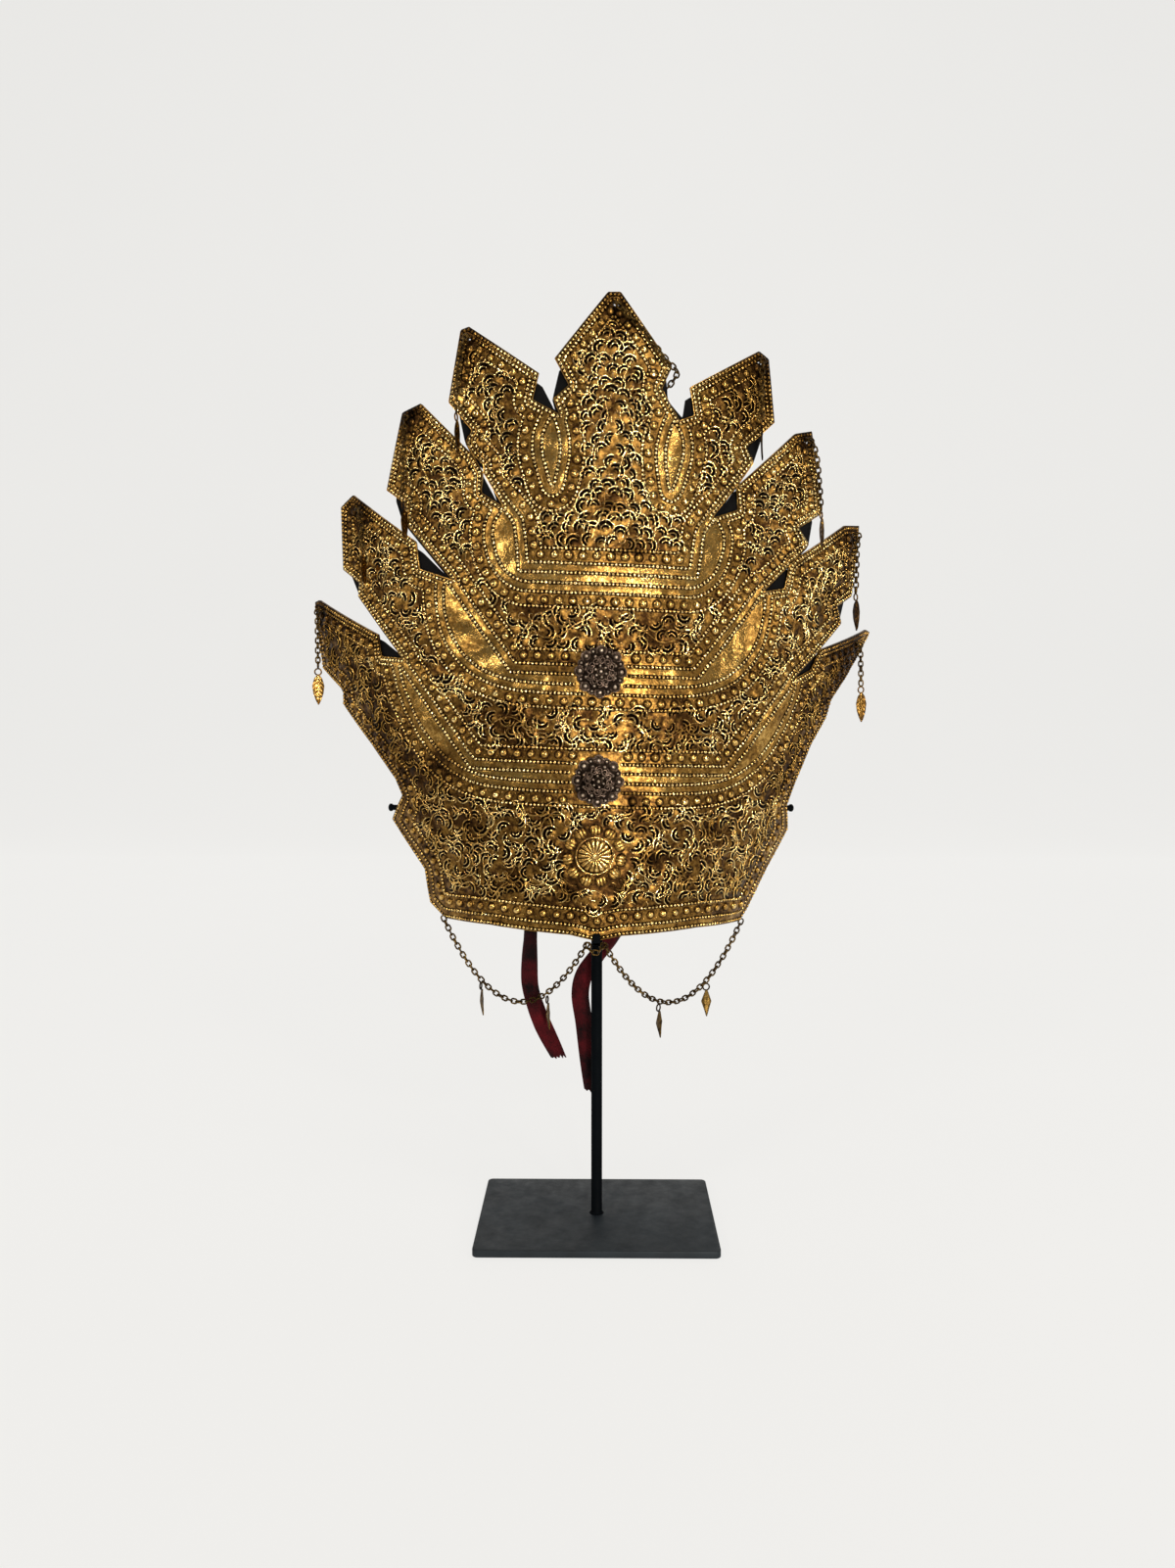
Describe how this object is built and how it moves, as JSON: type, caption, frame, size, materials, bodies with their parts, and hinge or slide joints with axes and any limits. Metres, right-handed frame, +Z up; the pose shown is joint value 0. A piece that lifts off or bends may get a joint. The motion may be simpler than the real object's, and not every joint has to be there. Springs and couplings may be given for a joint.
{
  "type": "ceremonial crown on display stand",
  "caption": "Bent sheet-metal ceremonial crown with stepped points, applied rosettes, hanging leaves on chains and cloth ties, held up by a plain post stand.",
  "frame": {"origin": "middle of the underside of the stand's base", "axes": "+Z up, -Y towards the front of the crown, +X to the right as seen from the front"},
  "size_m": [0.3373, 0.1378, 0.5028],
  "materials": {
    "gilt": "worn gilding over embossed sheet, dark in the recesses",
    "dark_brass": "tarnished wire",
    "oxidised": "blackened filigree with pale grains",
    "cloth": "black woven cloth",
    "red_cloth": "worn dark red velvet",
    "black_metal": "matt black paint"
  },
  "bodies": {
    "root": {"stand": "black_metal", "crown_plate": "gilt", "crown_backing": "cloth", "rosette_upper": "oxidised", "rosette_lower": "oxidised", "tip_chain_l4": "dark_brass", "leaf_l4": "gilt", "tip_chain_l3": "dark_brass", "leaf_l3": "gilt", "tip_chain_l2": "dark_brass", "leaf_l2": "gilt", "tip_chain_l1": "dark_brass", "leaf_l1": "gilt", "tip_chain_c": "dark_brass", "leaf_c": "gilt", "tip_chain_r1": "dark_brass", "leaf_r1": "gilt", "tip_chain_r2": "dark_brass", "leaf_r2": "gilt", "tip_chain_r3": "dark_brass", "leaf_r3": "gilt", "tip_chain_r4": "dark_brass", "leaf_r4": "gilt", "swag_left": "dark_brass", "swag_right": "dark_brass", "lozenge_l1": "dark_brass", "lozenge_l2": "dark_brass", "lozenge_r1": "dark_brass", "lozenge_r2": "dark_brass", "tie_left": "red_cloth", "tie_right": "red_cloth"}
  },
  "joints": []
}
